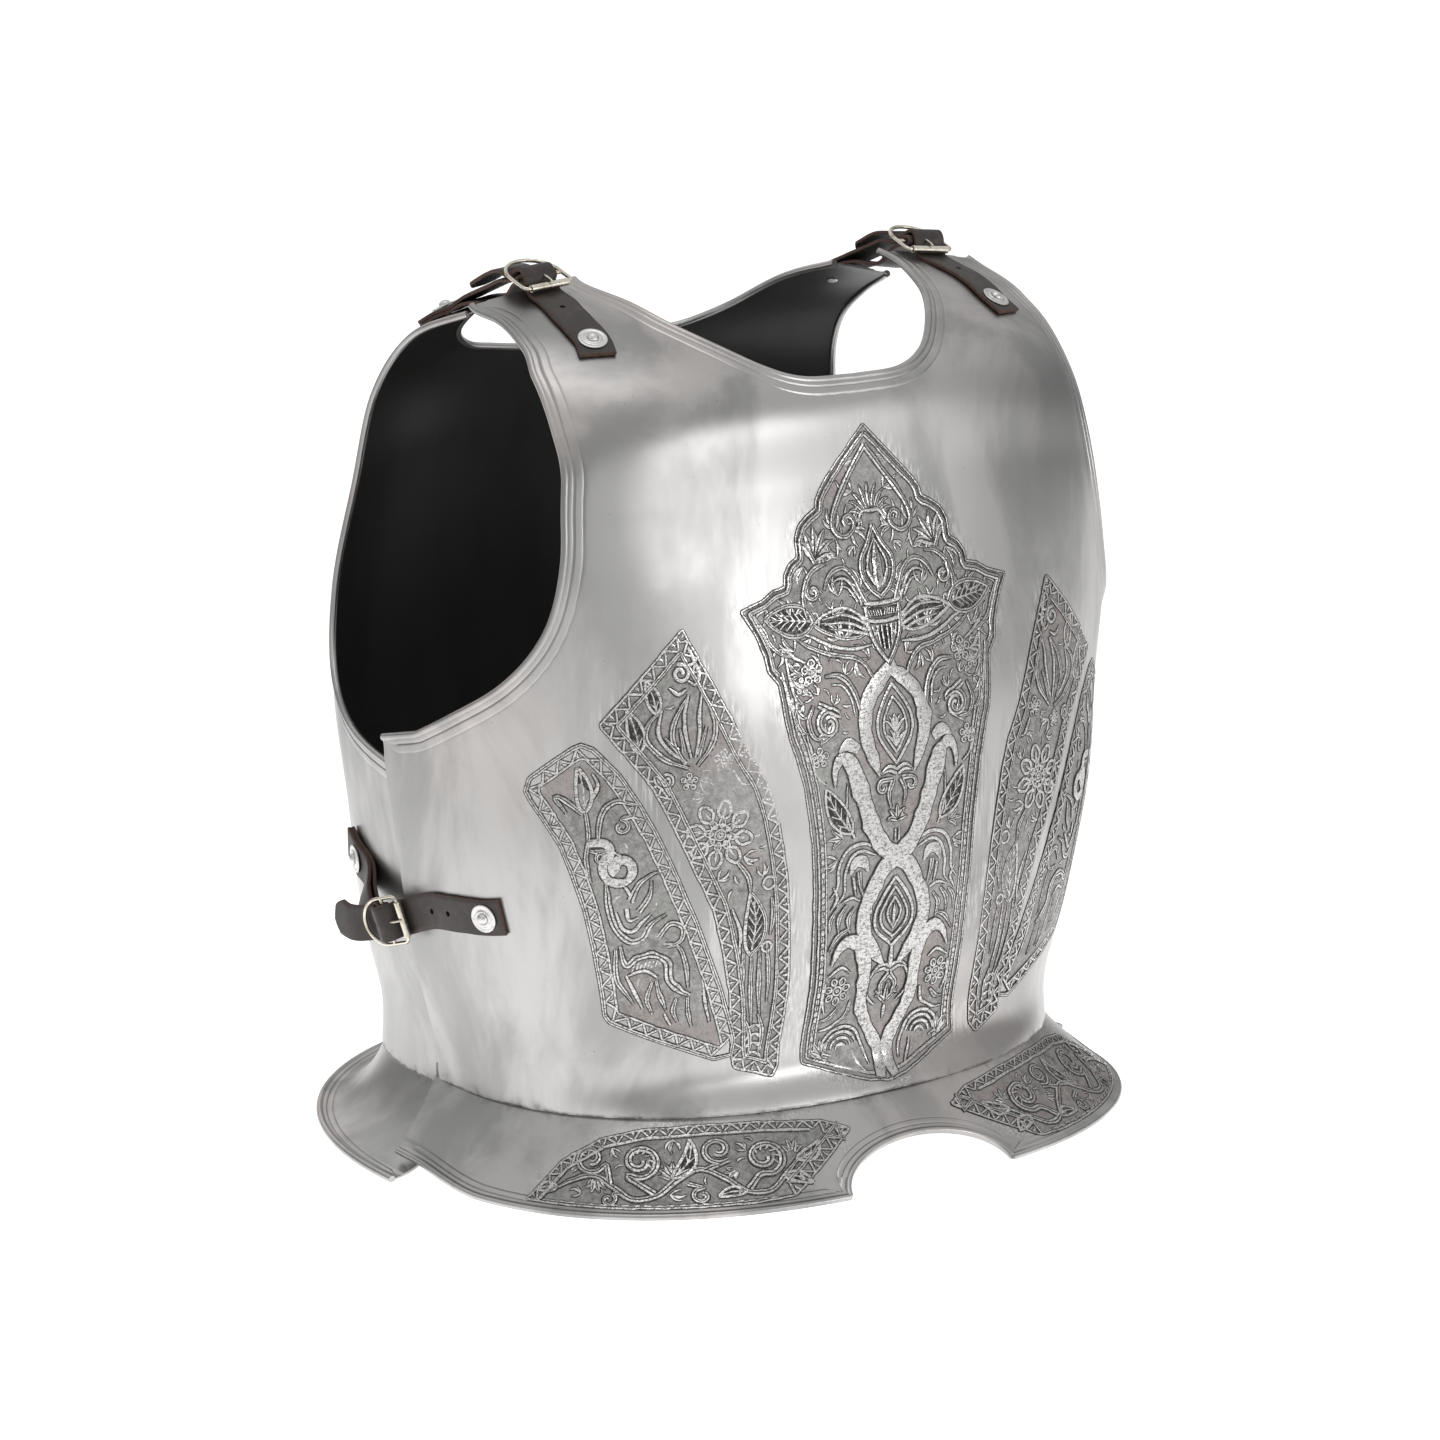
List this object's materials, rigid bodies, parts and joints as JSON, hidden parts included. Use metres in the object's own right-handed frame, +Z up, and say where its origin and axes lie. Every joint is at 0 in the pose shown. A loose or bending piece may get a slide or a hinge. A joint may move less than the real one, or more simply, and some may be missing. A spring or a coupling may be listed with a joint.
{
  "type": "steel breastplate with backplate",
  "caption": "Wearable cuirass: an etched steel breastplate and a plain backplate with flared waist flanges, joined at shoulders and flanks by buckled leather straps.",
  "frame": {"origin": "on the floor under the middle of the overall box, in the plane of the flange rims", "axes": "+Z up towards the neck, -Y out of the chest, +X to the wearer's left"},
  "size_m": [0.4486, 0.3807, 0.4581],
  "materials": {
    "steel": "polished mottled steel outside with etched dark panels on the front, black paint inside",
    "leather": "worn dark brown-black strap leather with raw brown edges",
    "brass": "pale nickelled brass wire and sheet",
    "rivet_steel": "bright turned steel"
  },
  "bodies": {
    "root": {"breastplate": "steel", "backplate": "steel", "breast_flange": "steel", "back_flange": "steel", "shoulder_right_front_strap": "leather", "shoulder_right_back_strap": "leather", "shoulder_right_buckle_frame": "brass", "shoulder_right_buckle_roller": "brass", "shoulder_right_buckle_prong": "brass", "shoulder_right_front_washer": "rivet_steel", "shoulder_right_front_rivet": "rivet_steel", "shoulder_right_back_washer": "rivet_steel", "shoulder_right_back_rivet": "rivet_steel", "shoulder_left_front_strap": "leather", "shoulder_left_back_strap": "leather", "shoulder_left_buckle_frame": "brass", "shoulder_left_buckle_roller": "brass", "shoulder_left_buckle_prong": "brass", "shoulder_left_front_washer": "rivet_steel", "shoulder_left_front_rivet": "rivet_steel", "shoulder_left_back_washer": "rivet_steel", "shoulder_left_back_rivet": "rivet_steel", "side_right_front_strap": "leather", "side_right_back_strap": "leather", "side_right_buckle_frame": "brass", "side_right_buckle_roller": "brass", "side_right_buckle_prong": "brass", "side_right_front_washer": "rivet_steel", "side_right_front_rivet": "rivet_steel", "side_right_back_washer": "rivet_steel", "side_right_back_rivet": "rivet_steel", "side_left_front_strap": "leather", "side_left_back_strap": "leather", "side_left_buckle_frame": "brass", "side_left_buckle_roller": "brass", "side_left_buckle_prong": "brass", "side_left_front_washer": "rivet_steel", "side_left_front_rivet": "rivet_steel", "side_left_back_washer": "rivet_steel", "side_left_back_rivet": "rivet_steel"}
  },
  "joints": []
}
